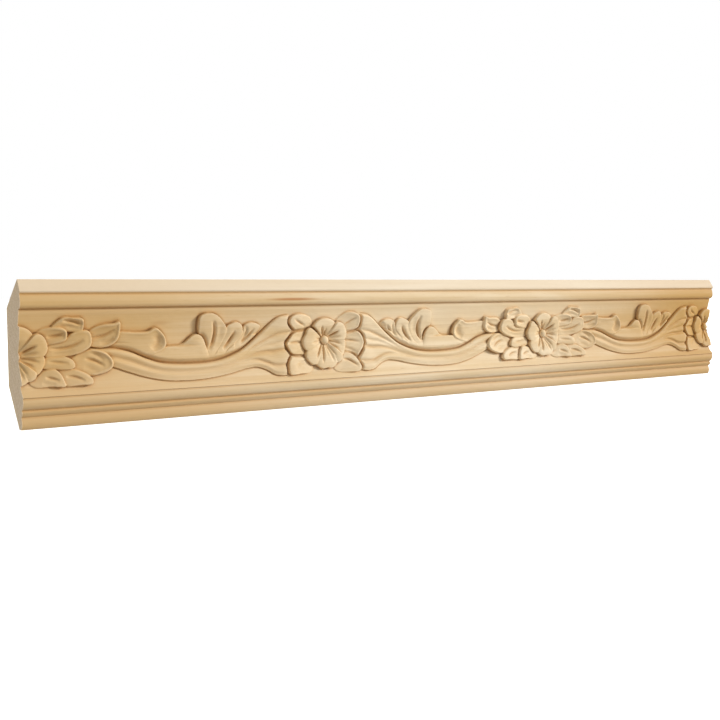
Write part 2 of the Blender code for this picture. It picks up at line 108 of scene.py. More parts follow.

# Painted shade and highlight: (reach, fall) of two looks round each point, and the slopes of a steep left
# side that the key light leaves in shade
NEAR_LOOK = (1.5, 1.3)
WIDE_LOOK = (4.0, 3.2)
STEEP = (0.6, 1.9)
STEEP_SHARE = 1.2
SHADING_RANGE = (-1.0, 2.0)

# The pattern: wide clusters and single flowers by turns; a heart is (across, up, turn in degrees)
FLOWER_GAP = 292.0
FIRST_CLUSTER = -3.2
FLOWER_RISE = 60.0
VINE_NEAR = 36.0
VINE_FAR = 230.0
SINGLE_REACH = 60.0
CLUSTER_REACH = 105.0
FLOWER_REACH = 32.0
FLOWER_RADIUS = 25.0
SPRAY_HEARTS = ((0.0, -2.2, 10.0), (1.4, 0.0, 0.0))
SINGLE_HEARTS = ((1.3, 2.8, 0.0), (0.0, 0.0, 0.0))
SPRAY_DROOPS = (0.0, 4.0)
DROOP_OUT = (45.0, 85.0)
DROOP_UP = (0.0, 20.0)
DROOP_INWARDS = 0.7
LEFT_STRETCH = 1.05
RIGHT_STRETCH = 1.04
VINE_SHIFT = 0.5
VINE_SHIFT_BACK = -3.0

# The carver's edges: a wall, a rounded rim inside it and a set-in line outside it
WALL = 0.4
SET_IN = 0.2
SET_IN_WIDTH = 1.6
EDGE_ROUND = 0.35
EDGE_WIDTH = 1.5
MARGIN = 4.0
RING_GAP = 3.4
GAP_FLOOR = 0.4
LINE_STEPS = 8
STROKE_DEPTH = 1.4
STROKE_WIDTH = 1.35
STROKE_ENDS = 0.9

# A leaf or lobe: how far in its dome grows, and the raised line inside the outer part of its outline
DOME_RUN = (0.5, 6.0)
RIM_INSIDE = 1.6
RIM_WIDTH = 1.2
RIM_RUN = (0.3, 0.7)

# The open flower, its runs by the share of a petal's length from the root
PETAL_ROOT = 0.2
PETAL_CUP = (0.05, 0.7)
PETAL_OVERRUN = 1.3
CROWN_RUN = (0.1, 0.6)
LIP_FALL = 0.3
LIP_RUN = (0.85, 1.0)
NOTCH_WIDTH = 0.25
PLEAT_DEPTH = 1.4
PLEAT_START = (0.1, 0.35)
PLEAT_END = 0.25
BUTTON_RADIUS = 4.4
BUTTON_FOOT = 0.5
BUTTON_CROWN = 2.6
BUTTON_LINE = 1.3

# The vine, by distance from the single flower's centre
VINE_TOP = ((34, 86.5), (47, 86.3), (52, 85), (60, 79.5), (67.5, 73), (77.5, 64.8), (88, 57.2), (100, 51.9),
            (110, 48.8), (125, 46.6), (140, 46.2), (155, 46.8), (170, 48.8), (181, 52.6), (195, 58.6),
            (206, 61.5), (230, 63))
VINE_FOOT = ((34, 33.5), (50, 31.5), (56, 32.5), (64, 37), (73, 40), (84, 39.5), (100, 36.2),
             (120, 33.2), (145, 32), (165, 33.2), (182, 36.8), (198, 42), (212, 47), (230, 50))
VINE_CROWN = 2.5
VINE_HOLLOW = 1.3
VINE_HOLLOW_WIDTH = 2.4
VINE_FALL = 1.3
VINE_FALL_WIDTH = 6.0
VINE_SHOULDER = 3.5
VINE_LINE = 0.5
VINE_LINE_WIDTH = 1.2
VINE_TOP_WALL = 0.6
VINE_SPLIT = 0.46

# The fan that the vine opens into beside the flower, its runs by the same distance
FAN_SPLIT = 0.575
FAN_RUN = (60.0, 95.0)
FAN_OPENS = (70.0, 110.0)
FAN_BEND = 0.8
FAN_LEVEL = 2.4
FAN_FALL = 1.2
FAN_FALL_WIDTH = 4.0
FAN_LIFT = 0.6
FAN_LIFT_RUN = (46.0, 60.0)
FAN_LINES = ((0.29, 0.22, 1.1), (0.44, 0.38, 0.8), (0.575, 0.5, 1.5), (0.83, 0.62, 1.4))
FAN_LINE_WIDTH = 1.8

# The stem over the vine, and how far its slope down to the vine runs
STEM_TOP = ((66, 70), (76, 70), (90, 67), (105, 64), (118, 62.5), (126, 62), (155, 62.2), (168, 63),
            (174, 66))
STEM_START = 72.0
STEM_LEVEL = 2.8
STEM_FALL = 1.5
STEM_FALL_RUN = (172.0, 212.0)
GROOVE_FLOOR = -0.3
STEM_SLOPE = 5.5
LOBE_SLOPE = 8.0

# The mix node's colour sockets, whose names repeat: factor and two colours, and the result
MIX_INPUTS = (0, 6, 7)
MIX_RESULT = 2

# The wood's patterns: each one's length along the grain and width across it
RINGS = (77.0, 5.5)
FIBRE = (150.0, 1.1)
PORE = (11.0, 0.75)
MOTTLE = (120.0, 14.0)
TOOLING = (11.2, 7.0)
END_SPECK = (1.3, 1.3)
PITH = (0.0, 95.0, -60.0)
RING_WAVE = (("Scale", math.tau / 20), ("Distortion", 1.6), ("Detail", 3.0), ("Detail Scale", 0.35))

# Tones by a pattern's value: the span from none to full, and the share at full
MOTTLE_SPAN = (0.3, 0.7)
RING_TONE = ((0.1, 1.0), 0.16)
FIBRE_TONE = ((0.45, 0.75), 0.3)
PORE_TONE = ((0.66, 0.78), 0.3)
# Painted highlight on rims, painted shade in hollows, and deeper painted shade on steep left sides
SHADING_TONES = (((-0.2, -1.0), 0.15, "light"), ((0.1, 1.0), 0.6, "crease"), ((0.9, 2.0), 0.6, "deep_painted_shade"))
END_SPECK_SPAN = (0.35, 0.75)
END_RING_TONE = ((0.3, 1.0), 0.14)

# Tones by place: (span, share) for the deeper ends and the painted-light bands, (rise, reach, share) for the
# painted shade in the grooves, and marks
DEEPER_ENDS = (((520.0, 860.0), 1.0), ((380.0, 20.0), 0.75))
# Painted light: paler bands on the up-facing top facet and lower cove, where the light falls most
PAINTED_LIGHT_BANDS = (((108.6, 110.0), 0.55), ((52.0, 35.0), 0.1))
FOOT_BAND = ((17.5, 15.5), 0.5)
# Painted shade along the section's grooves, under the quirk and the ovolo and between the beads
GROOVE_SHADE = ((108.0, 1.5, 0.5), (95.8, 1.8, 0.5), (25.0, 1.3, 0.35), (15.6, 1.5, 0.45), (9.7, 1.3, 0.45))
# The streak and the smear are the wood's own marks; the light one is a painted pool of light on the middle
# of the upper cove
MARKS_AND_LIGHT_POOL = (((251.0, 101.6), (36.0, 1.9), 0.8, "streak"), ((121.0, 82.5), (13.0, 3.2), 0.3, "pore"),
         ((500.0, 86.0), (330.0, 15.0), 0.55, "light"))
GROOVE_SHADE_LENGTH = 10 * LENGTH
MARK_CORE = 0.2
FRONT_DEPTHS = (24.0, 26.0)
END_GRAIN_DEPTH = 0.1

# The wood's surface: strength and depth of each bump, and the roughness between and on the fibres
GRAIN_BUMP = (0.35, 0.12)
TOOL_BUMP = (0.5, 0.5)
ROUGHNESS_SPAN = (0.3, 0.7)
ROUGHNESS = (0.55, 0.68)
SPECULAR = 0.35

# The camera: the photograph's eye point, from the left end's foot at the flat back, and its turn
IMAGE_SIDE = 720
SENSOR_WIDTH = 36.0
FOCAL_PIXELS = 1019.33
EYE = (-243.63, 841.76, 114.04)
CAMERA_YAW = 35.2416
CAMERA_PITCH = 4.1828
CAMERA_ROLL = -0.1636

# The studio, in metres from the middle of the board, and the directions in which its room brightens
FLOOR_SIDE = 16.0
FLOOR_DROP = 0.1 * MM
FLOOR_GLOW = 0.85
FLOOR_ROUGHNESS = 0.9
FLOOR_SPECULAR = 0.1
ROOM_UPWARDS = (-0.4, 0.6)
ROOM_TO_RIGHT = (-0.7, 0.2)
KEY_PLACE = (8.6, -6.6, 4.4)
KEY_SIZE = 2.8
FILL_PLACE = (-1.6, -1.6, 0.7)
FILL_SIZE = 1.6
REAR_PLACE = (0.6, 1.9, 1.3)
REAR_SIZE = 1.8


def ramp(low, high, value):
    """Runs smoothly from 0 at low to 1 at high."""
    share = np.clip((value - low) / (high - low), 0.0, 1.0)
    return share * share * (3.0 - 2.0 * share)


def groove(offset, width):
    """A rounded groove: 1 on its line, fading over its width."""
    return np.exp(-(offset / width) ** 2)


def curve(value, points):
    """A smooth curve through a few (place, height) points."""
    at, height = np.array(points, float).T
    slope = np.gradient(height, at)
    first = np.clip(np.searchsorted(at, value) - 1, 0, len(at) - 2)
    step = at[first + 1] - at[first]
    t = np.clip((value - at[first]) / step, 0.0, 1.0)
    start = (1 + 2 * t) * (1 - t) ** 2 * height[first] + t * (1 - t) ** 2 * step * slope[first]
    end = t * t * (3 - 2 * t) * height[first + 1] + t * t * (t - 1) * step * slope[first + 1]
    return start + end


def trace(points, closed):
    """A smooth line through a few points of the face."""
    knots = np.array(points, float)
    if closed:
        before, after, last = np.roll(knots, 1, 0), np.roll(knots, -1, 0), np.roll(knots, -2, 0)
    else:
        padded = np.vstack([2 * knots[0] - knots[1], knots, 2 * knots[-1] - knots[-2]])
        before, knots, after, last = padded[:-3], padded[1:-2], padded[2:-1], padded[3:]
    t = (np.arange(LINE_STEPS) / LINE_STEPS)[None, :, None]
    a, b, c, d = (knot[:, None, :] for knot in (before, knots, after, last))
    line = 0.5 * (2 * b + (c - a) * t + (2 * a - 5 * b + 4 * c - d) * t ** 2
                  + (3 * b - a - 3 * c + d) * t ** 3)
    line = line.reshape(-1, 2)
    end = line[:1] if closed else np.array(points[-1:], float)
    return np.vstack([line, end])


def nearest(u, v, line):
    """Distance to a line, the share of its length at the nearest point, and whether it winds round."""
    along = line[1:] - line[:-1]
    length = np.hypot(*along.T)
    travelled = np.concatenate([[0], np.cumsum(length)])
    best = np.full(u.shape, np.inf)
    share = np.zeros(u.shape)
    inside = np.zeros(u.shape, bool)
    for (au, av), (du, dv), size, from_start in zip(line[:-1], along, length, travelled):
        if size == 0:
            continue
        t = np.clip(((u - au) * du + (v - av) * dv) / size ** 2, 0, 1)
        far = np.hypot(u - au - t * du, v - av - t * dv)
        closer = far < best
        best = np.where(closer, far, best)
        share = np.where(closer, (from_start + t * size) / travelled[-1], share)
        if dv != 0:
            inside ^= ((av > v) != (av + dv > v)) & (u < au + (v - av) * du / dv)
    return best, share, inside


def tool_cut(u, v, points, depth, width):
    """A gouge stroke that starts and ends fine and is deepest in the middle."""
    far, share, _ = nearest(u, v, trace(points, False))
    fade = (4 * share * (1 - share)) ** STROKE_ENDS
    return STROKE_DEPTH * depth * groove(far, STROKE_WIDTH * width) * fade


def lay(field, edge, height, gap=0.0):
    """Lays one carved form over what is under it; edge is the distance inside its outline."""
    rounded = height - EDGE_ROUND * (1 - np.clip(edge / EDGE_WIDTH, 0, 1)) ** 2
    if gap:
        field = field * ramp(GAP_FLOOR * gap, gap, -edge)
    cut = field - SET_IN * groove(np.minimum(edge + WALL, 0), SET_IN_WIDTH)
    return cut + (rounded - cut) * ramp(-WALL, WALL, edge)


def form(field, u, v, outline, root, tip, low=0.6, high=3.2, swell=0.3, rim=0.0, soft=0.0, gap=0.0,
         strokes=()):
    """A leaf or lobe: a smooth outline, rising from root to tip, domed or cupped, with tool strokes."""
    line = trace(outline, True)
    (left, bottom), (right, top) = line.min(0) - MARGIN, line.max(0) + MARGIN
    near = (u > left) & (u < right) & (v > bottom) & (v < top)
    fu, fv = u[near], v[near]
    far, _, inside = nearest(fu, fv, line)
    edge = np.where(inside, far, -far)
    axis = np.array(tip, float) - np.array(root, float)
    along = ((fu - root[0]) * axis[0] + (fv - root[1]) * axis[1]) / (axis @ axis)
    height = low + (high - low) * ramp(0.0, 1.0, along) + swell * ramp(*DOME_RUN, edge)
    height = height + rim * groove(edge - RIM_INSIDE, RIM_WIDTH) * ramp(*RIM_RUN, along)
    for points, depth, width in strokes:
        height = height - tool_cut(fu, fv, points, depth, width)
    under = field[near]
    laid = lay(under, edge, height, gap)
    if soft:
        laid = under + (laid - under) * ramp(0.0, soft, along)
    result = field.copy()
    result[near] = laid
    return result


def petal(field, u, v, start, stop, radius, rim=3.3, heart=0.84, tilt=0.0, crown=0.2, notch=0.0,
          notch_at=0.0, pleats=()):
    """A fan-shaped petal between two angles in degrees, tilted so that one side rides higher."""
    r = np.hypot(u, v)
    middle = math.radians((start + stop) / 2)
    half = math.radians((stop - start) / 2)
    turn = (np.arctan2(v, u) - middle + math.pi) % (2 * math.pi) - math.pi
    across = turn / half
    spread = np.minimum(np.abs(across), PETAL_OVERRUN)
    reach = radius * (1 - (1 - heart) * spread ** 3 - notch * groove(across - notch_at, NOTCH_WIDTH))
    edge = np.minimum(reach - r, (1 - np.abs(across)) * half * r)
    out = r / reach
    height = PETAL_ROOT + (rim - PETAL_ROOT) * ramp(*PETAL_CUP, out) - LIP_FALL * ramp(*LIP_RUN, out)
    height = height + tilt * np.clip(across, -1, 1) * np.clip(out, 0, 1)
    height = height + crown * (1 - spread ** 2) * ramp(*CROWN_RUN, out)
    for offset, depth, length, width in pleats:
        fade = (1 - ramp(length - PLEAT_END, length, out)) * ramp(*PLEAT_START, out)
        height = height - PLEAT_DEPTH * depth * groove(r * (turn - math.radians(offset)), width) * fade
    return lay(field, edge, height)


def open_flower(field, u, v, heart):
    """Seven overlapping petals round a button set off the middle, all turned clockwise by some degrees."""
    pull = np.clip(1 - np.hypot(u, v) / FLOWER_RADIUS, 0, 1)
    u, v = u - heart[0] * pull, v - heart[1] * pull
    turn = math.radians(heart[2])
    u, v = u * math.cos(turn) - v * math.sin(turn), u * math.sin(turn) + v * math.cos(turn)
    field = petal(field, u, v, -40, 9, 25, rim=2.9, heart=0.9, tilt=0.3, crown=-0.9,
                  pleats=((8, 0.8, 0.85, 1.3), (-9, 0.6, 0.8, 1.2)))
    field = petal(field, u, v, -64, -31, 24.5, tilt=0.5, crown=0.2, pleats=((-5, 0.5, 0.8, 1.1),))
    field = petal(field, u, v, -122, -56, 25.3, rim=3.1, heart=0.9, tilt=0.1, notch=0.05,
                  pleats=((-13, 1.2, 0.85, 0.9), (6, 0.4, 0.7, 1.0), (24, 0.8, 0.9, 1.5)))
    field = petal(field, u, v, -160, -116, 26, rim=3.1, heart=0.86, tilt=-0.2, pleats=((12, 1.0, 0.8, 0.9),))
    field = petal(field, u, v, 138, 203, 25, tilt=0.2, crown=0.5, notch=0.07, notch_at=-0.35,
                  pleats=((-4, 0.7, 0.5, 0.9), (14, 0.5, 0.7, 0.9)))
    field = petal(field, u, v, 48, 132, 23.0, heart=0.88, tilt=0.7,
                  pleats=((18, 1.2, 0.75, 1.1), (-2, 0.9, 0.6, 1.0)))
    field = petal(field, u, v, 3, 57, 27, rim=3.7, heart=0.82, tilt=0.9,
                  pleats=((4, 1.3, 0.75, 1.1), (-16, 0.7, 0.8, 1.3)))
    r = np.hypot(u, v)
    button = BUTTON_FOOT + BUTTON_CROWN * np.sqrt(np.clip(1 - (r / BUTTON_RADIUS) ** 2, 0, 1))
    ring = field - SET_IN * groove(np.maximum(r - BUTTON_RADIUS, 0), BUTTON_LINE)
    return np.where(r < BUTTON_RADIUS, button, ring)


def leaf_ring(field, u, v):
    """The six broad leaves behind a single flower, parted from the fans by a narrow gap."""
    field = form(field, u, v, ((20, 10), (29, 9.3), (38, 10), (43, 6), (45.5, 0), (44.5, -5), (40, -11),
                               (35, -15.5), (24, -12), (18, -2)),
                 (18, 0), (45, -1), low=0.5, high=2.9, swell=-0.3, rim=0.3, gap=RING_GAP,
                 strokes=((((22, 1.5), (31, 1), (41, -0.5)), 0.9, 0.9),
                          (((24, -6), (31, -8), (38, -12)), 0.7, 1.2)))
    field = form(field, u, v, ((-12, 12), (-20, 11), (-28, 10.5), (-35, 14.5), (-39.5, 20), (-38, 25),
                               (-31, 27.5), (-23, 26.8), (-15, 23)),
                 (-14, 16), (-40, 23), low=0.4, gap=RING_GAP,
                 strokes=((((-21, 16), (-28, 19.5), (-35, 23)), 0.9, 0.9),))
    field = form(field, u, v, ((-16, -10.5), (-28, -9.5), (-35, -10.5), (-40, -15), (-42, -22), (-41, -28.5),
                               (-30, -28.3), (-18, -27.5), (-14, -20)),
                 (-16, -16), (-42, -22), low=0.5, high=3.0, gap=RING_GAP,
                 strokes=((((-24, -17), (-29, -19), (-34, -23)), 0.4, 1.2),))
    field = form(field, u, v, ((-14, 11), (-25, 11), (-33, 10), (-38, 6), (-42.2, 0), (-40, -5.5),
                               (-36, -9.5), (-26, -10.5), (-14, -10)),
                 (-16, 0), (-44, 0), low=0.5, high=3.4, gap=RING_GAP,
                 strokes=((((-24, 1), (-33, 1.2), (-42, 0.5)), 1.0, 0.9),
                          (((-26, 6), (-31, 6.5), (-36, 6)), 0.3, 1.2)))
    field = form(field, u, v, ((14, 20), (20, 26), (27, 28.7), (35, 27.8), (40, 24), (40, 18), (38, 13),
                               (30, 10.5), (20, 10)),
                 (14, 14), (41, 25), low=0.4, swell=-0.2, rim=0.3, gap=RING_GAP,
                 strokes=((((22.5, 16), (29, 19.5), (36, 23)), 1.0, 0.9),))
    field = form(field, u, v, ((14, -12), (24, -10.5), (32, -12.5), (37.5, -18.5), (39.8, -25), (36, -28.7),
                               (26, -29.3), (14, -28.5), (9, -24)),
                 (12, -18), (40, -25), low=0.5, high=3.1, gap=RING_GAP,
                 strokes=((((20, -16.5), (28, -18), (36.5, -24)), 1.3, 1.0),))
    return field


def leaf_spray(field, u, v):
    """Eight overlapping leaves on one side of a wide cluster, from the outermost inwards."""
    field = form(field, u, v, ((60, 16), (66, 20.5), (73, 22.6), (81, 23.3), (86.8, 24.4), (87, 15),
                               (84.5, 8.5), (78, 4), (68, 3), (58, 7)),
                 (56, 8), (87, 15), high=3.2, swell=-0.6, rim=0.5,
                 strokes=((((63, 11), (73, 13), (83, 18)), 1.1, 1.0),
                          (((70, 6.5), (76, 7.5), (82, 11)), 0.5, 1.6)))
    field = form(field, u, v, ((44, -8), (50, -2), (57, 1.5), (66, 2), (74, -0.5), (79.5, -6), (80, -12.5),
                               (74, -17), (62, -19.5), (50, -17)),
                 (44, -6), (80, -9), high=3.4, swell=-0.5, rim=0.6,
                 strokes=((((57, -5.5), (65, -7.5), (73, -12)), 1.1, 1.0),
                          (((60, 0), (68, -3), (73, -8)), 0.6, 1.5),
                          (((56, -12), (62, -14), (68, -16)), 0.4, 1.5)))
    field = form(field, u, v, ((30, 20), (34, 26), (39, 29), (47, 28.6), (54.5, 28), (56, 23), (54, 17),
                               (44, 17)),
                 (36, 14), (50, 29), low=1.4, high=3.2, swell=-0.3, rim=0.3,
                 strokes=((((38, 26.5), (46, 25.8), (55, 22.8)), 1.6, 1.1),
                          (((36, 22), (44, 21), (51, 20)), 0.6, 1.4)))
    field = form(field, u, v, ((32, -14), (42, -12.5), (51, -14.5), (58, -18), (62, -22), (60.5, -26.3),
                               (51, -26.6), (40, -27), (32, -24)),
                 (30, -16), (61, -22), rim=0.2,
                 strokes=((((40, -19), (48, -20), (55, -23)), 1.0, 0.9),))
    field = form(field, u, v, ((22, -5), (30, -2), (38, -2.3), (46, -5.5), (48.3, -11), (44, -13.5),
                               (33, -13.3), (22, -12)),
                 (20, -7), (48, -9), high=2.9, swell=0.4,
                 strokes=((((26, -7), (34, -7.5), (43, -8.5)), 0.9, 0.9),))
    field = form(field, u, v, ((24, 8), (34, 10), (41, 12), (46, 16), (53, 18), (60, 17.6), (62.8, 12),
                               (62, 5), (56, 0.5), (46, -2.5), (34, -3.3), (24, -2)),
                 (24, 2), (62, 13), high=3.4, rim=0.3,
                 strokes=((((27, 4), (37, 3.5), (47, 5.5), (56, 10.5)), 1.2, 1.0),
                          (((30, -0.5), (40, -0.5), (49, 2)), 0.4, 1.4)))
    field = form(field, u, v, ((10, -23), (16, -18.5), (22, -14), (31, -12.8), (35.5, -16.5), (38, -22),
                               (38.2, -27), (27, -26.5), (16, -27)),
                 (12, -20), (38, -23), rim=0.2,
                 strokes=((((23, -19), (28, -20), (34, -22)), 1.0, 0.9),
                          (((20, -24), (26, -24.5), (31, -24.5)), 0.4, 1.2)))
    field = form(field, u, v, ((14, 12), (20, 19), (29, 21.2), (38, 20.5), (42, 17), (41.5, 11), (37, 8.3),
                               (26, 6.5), (16, 7)),
                 (16, 12), (43, 17), high=3.2, swell=-0.2, rim=0.5,
                 strokes=((((26, 13), (33, 14), (40, 15.5)), 1.2, 1.0),))
    return field


def scroll_leaves(field, s, rise, top):
    """The stem over the vine, the curl that ends it, its round lobe and its three upright lobes."""
    edge = np.minimum(curve(s, STEM_TOP) - rise, s - STEM_START)
    level = STEM_LEVEL - STEM_FALL * ramp(*STEM_FALL_RUN, s)
    stem = lay(field, edge, GROOVE_FLOOR + (level - GROOVE_FLOOR) * ramp(0, STEM_SLOPE, rise - top))
    field = form(stem, s, rise, ((230, 46), (206, 50), (190, 53), (177, 55), (167, 58.5), (162.8, 63),
                                 (162.5, 67), (163.8, 71), (167, 75), (171.5, 78.4), (175.5, 77.8),
                                 (180, 75.6), (190, 75.3), (206, 76.3), (230, 77)),
                 (210, 60), (170, 76), low=2.0, high=3.1, swell=-0.3, rim=0.4,
                 strokes=((((176, 60), (170, 66), (172, 73)), 1.2, 2.6),))
    field = form(field, s, rise, ((124, 46), (124, 57), (125.5, 64.5), (128.5, 69.8), (132.5, 71.8),
                                  (137, 71.2), (141, 68.3), (145, 64.8), (150, 62.8), (157, 61.5), (160, 54),
                                  (148, 46)),
                 (140, 50), (131, 70), low=2.6, high=3.0, soft=0.8)
    field = form(field, s, rise, ((94, 52), (86, 58), (80, 63), (73, 70), (69.5, 76), (71.5, 79), (77, 80.8),
                                  (82, 80.4), (86.5, 78), (89, 70), (96, 62)),
                 (95, 53), (76, 81), low=1.8, high=2.6, soft=0.35,
                 strokes=((((89, 63), (83, 68), (76, 75.5)), 1.2, 0.9),
                          (((86, 79), (84, 74), (86.5, 67), (91, 61)), 0.9, 1.1)))
    field = form(field, s, rise, ((112, 50), (102, 58), (94, 64), (88.5, 70), (88, 76), (90.5, 80.3),
                                  (94.5, 81.6), (99.5, 80.5), (104.5, 77.4), (106, 70), (112, 62)),
                 (110, 51), (94, 81), low=1.8, high=2.8, soft=0.3,
                 strokes=((((108, 57.5), (101, 65), (95.5, 74)), 1.4, 1.0),
                          (((103, 62), (97, 69), (92.5, 76)), 0.5, 2.0)))
    field = form(field, s, rise, ((121, 50), (113, 57), (107, 66), (104, 74), (105.5, 79), (109.5, 83.8),
                                  (114.5, 88.2), (120, 90.2), (126, 90), (131, 87.8), (132.3, 82),
                                  (131.8, 73.5), (128, 69.5), (125, 64), (123.5, 58)),
                 (121, 50), (124, 90), low=1.8, high=3.3, soft=0.25,
                 strokes=((((122, 57), (117.5, 65), (116, 74), (118.5, 84)), 1.9, 1.2),
                          (((118, 60), (111.5, 70), (111.5, 82)), 0.8, 2.6),
                          (((123.3, 57.5), (124.5, 64), (127.5, 70), (131.5, 72.8)), 1.5, 1.2)))
    return stem + (field - stem) * ramp(0, LOBE_SLOPE, rise - top)


def vine(field, s, rise, leaf_shift):
    """A broad band with a soft hollow that sags between the flowers and opens into a ribbed fan."""
    top = curve(s, VINE_TOP)
    width = top - curve(s, VINE_FOOT)
    over = top - rise
    under = width - over
    fan = 1 - ramp(*FAN_RUN, s)
    split = VINE_SPLIT + (FAN_SPLIT - VINE_SPLIT) * fan
    band = VINE_CROWN - VINE_HOLLOW * groove(over - split * width, VINE_HOLLOW_WIDTH)
    band = band - VINE_FALL * (1 - ramp(0, VINE_FALL_WIDTH, under))
    ribs = FAN_LEVEL + FAN_LIFT * (1 - ramp(*FAN_LIFT_RUN, s))
    ribs = ribs - FAN_FALL * (1 - ramp(0, FAN_FALL_WIDTH, under))
    for at_flower, at_neck, depth in FAN_LINES:
        line = at_neck + (at_flower - at_neck) * fan ** FAN_BEND
        ribs = ribs - depth * groove(over - line * width, FAN_LINE_WIDTH)
    opened = 1 - ramp(*FAN_OPENS, s)
    height = band * (1 - opened) + ribs * opened
    rounding = np.sqrt(1 - (1 - np.clip(over / VINE_SHOULDER, 0, 1)) ** 2)
    body = GROOVE_FLOOR + (height - GROOVE_FLOOR) * rounding
    beside = np.where(over < width / 2, scroll_leaves(field, s - leaf_shift, rise, top), field)
    cut = beside - VINE_LINE * groove(np.minimum(np.minimum(over, under), 0), VINE_LINE_WIDTH)
    return cut + (body - cut) * ramp(-VINE_TOP_WALL, VINE_TOP_WALL, over) * ramp(-WALL, WALL, under)


def relief(x, rise):
    """Height of the carving over the plain cove."""
    field = np.zeros_like(x)
    v = rise - FLOWER_RISE
    clusters = (FIRST_CLUSTER, FIRST_CLUSTER + 2 * FLOWER_GAP)
    singles = (FIRST_CLUSTER + FLOWER_GAP, FIRST_CLUSTER + 3 * FLOWER_GAP)
    vines = ((singles[0], -1, VINE_SHIFT), (singles[0], 1, VINE_SHIFT_BACK), (singles[1], -1, VINE_SHIFT))
    for centre, side, leaf_shift in vines:
        s = (x - centre) * side
        near = (s > VINE_NEAR) & (s < VINE_FAR)
        field[near] = vine(field[near], s[near], rise[near], leaf_shift)
    for centre, heart in zip(singles, SINGLE_HEARTS):
        near = np.abs(x - centre) < SINGLE_REACH
        u = (x - centre)[near]
        field[near] = open_flower(leaf_ring(field[near], u, v[near]), u, v[near], heart)
    for centre, heart, droop in zip(clusters, SPRAY_HEARTS, SPRAY_DROOPS):
        for side, stretch in ((1, RIGHT_STRETCH if centre > 0 else 1.0), (-1, LEFT_STRETCH)):
            out = (x - centre) * side
            near = (out >= 0) & (out < CLUSTER_REACH)
            hang = droop * ramp(*DROOP_OUT, out[near]) * ramp(*DROOP_UP, v[near])
            field[near] = leaf_spray(field[near], out[near] / stretch + DROOP_INWARDS * hang, v[near] + hang)
        near = np.abs(x - centre) < FLOWER_REACH
        field[near] = open_flower(field[near], (x - centre)[near], v[near], heart)
    inside = ramp(CARVED_FOOT, CARVED_FOOT + CARVED_FADE, rise)
    return RELIEF_SCALE * field * inside * (1 - ramp(CARVED_TOP - CARVED_FADE, CARVED_TOP, rise))


def look_round(x, rise, reach, fall):
    """How far each point lies under its four neighbours, in falls, and the slope to the right."""
    steps = ((reach, 0), (0, reach), (-reach, 0), (0, -reach))
    right, above, left, below = (relief(x + across, rise + up) for across, up in steps)
    mean = (right + above + left + below) / 4
    return (mean - relief(x, rise)) / fall, (right - left) / (2 * reach)


def crease(x, rise):
    """How much painted shade each point takes: up to 2 in hollows and at the foot of a steep left side,
    which the key light leaves in shade; -1, a painted highlight, on a rim.
    """
    near, slope = look_round(x, rise, *NEAR_LOOK)
    wide, _ = look_round(x, rise, *WIDE_LOOK)
    return np.clip(near + wide + STEEP_SHARE * ramp(*STEEP, slope), *SHADING_RANGE)


def arc(start, end, bulge):
    """Points of a circular arc that leaves the straight line start to end by bulge."""
    start, end = Vector(start), Vector(end)
    chord = end - start
    normal = Vector((-chord.y, chord.x)).normalized()
    radius = (chord.length_squared / 4 + bulge ** 2) / (2 * bulge)
    reach = math.asin(chord.length / 2 / radius)
    points = []
    for i in range(ARC_STEPS + 1):
        angle = reach * (2 * i / ARC_STEPS - 1)
        centre_line = start + chord * (0.5 + math.sin(angle) * radius / chord.length)
        points.append(tuple(centre_line + normal * (math.cos(angle) - math.cos(reach)) * radius))
    return points


def eased(corner, before, after):
    """The two points that take the sharpness off a corner of the section."""
    corner = Vector(corner)
    return [tuple(corner + (Vector(side) - corner).normalized() * ARRIS) for side in (before, after)]


def section(grid):
    """The closed outline of the board, (depth, rise), from the top edge down the front and round."""
    spring = math.radians(SPRING_ANGLE)
    top_edge = (TOP_EDGE_DEPTH, FACE_HEIGHT)
    wall_edge = (0.0, WALL_BEVEL_DEPTH / math.tan(spring))
    ceiling_edge = (0.0, FACE_HEIGHT - TOP_EDGE_DEPTH * math.tan(spring))
    underside_back = (WALL_BEVEL_DEPTH, 0.0)
    rows = round((CARVED_TOP - CARVED_FOOT) / grid)
    rises = [COVE[0][0], *np.linspace(CARVED_TOP, CARVED_FOOT, rows + 1)]
    rises += list(np.linspace(CARVED_FOOT, COVE[-1][0], FOOT_ROWS + 1))[1:]
    cove = sorted(COVE)
    outline = eased(top_edge, ceiling_edge, TOP_FACET_FOOT)
    outline += eased(TOP_FACET_FOOT, top_edge, QUIRK)
    outline += arc(QUIRK, OVOLO_NOSE, OVOLO_BULGE[0])
    outline += arc(OVOLO_NOSE, OVOLO_FOOT, OVOLO_BULGE[1])[1:]
    outline += [OVOLO_GROOVE]
    outline += [(float(curve(rise, cove)), float(rise)) for rise in rises]
    outline += [UPPER_GROOVE]
    outline += arc(UPPER_BEAD_TOP, UPPER_BEAD_FOOT, BEAD_BULGE)
    outline += LOWER_FILLET
    outline += arc(LOWER_BEAD_TOP, LOWER_BEAD_FOOT, BEAD_BULGE)
    outline += [UNDERSIDE_EDGE]
    outline += eased(underside_back, UNDERSIDE_EDGE, wall_edge)
    outline += eased(wall_edge, underside_back, ceiling_edge)
    outline += eased(ceiling_edge, wall_edge, top_edge)
    return [(min(depth, THICKNESS), rise) for depth, rise in outline]


def place(x, depth, rise):
    """Turns a point of the board, in millimetres, into the frame's metres."""
    return Vector((BOARD_LOW[0] + x * MM, BOARD_HIGH[1] - depth * MM, BOARD_LOW[2] + rise * MM))


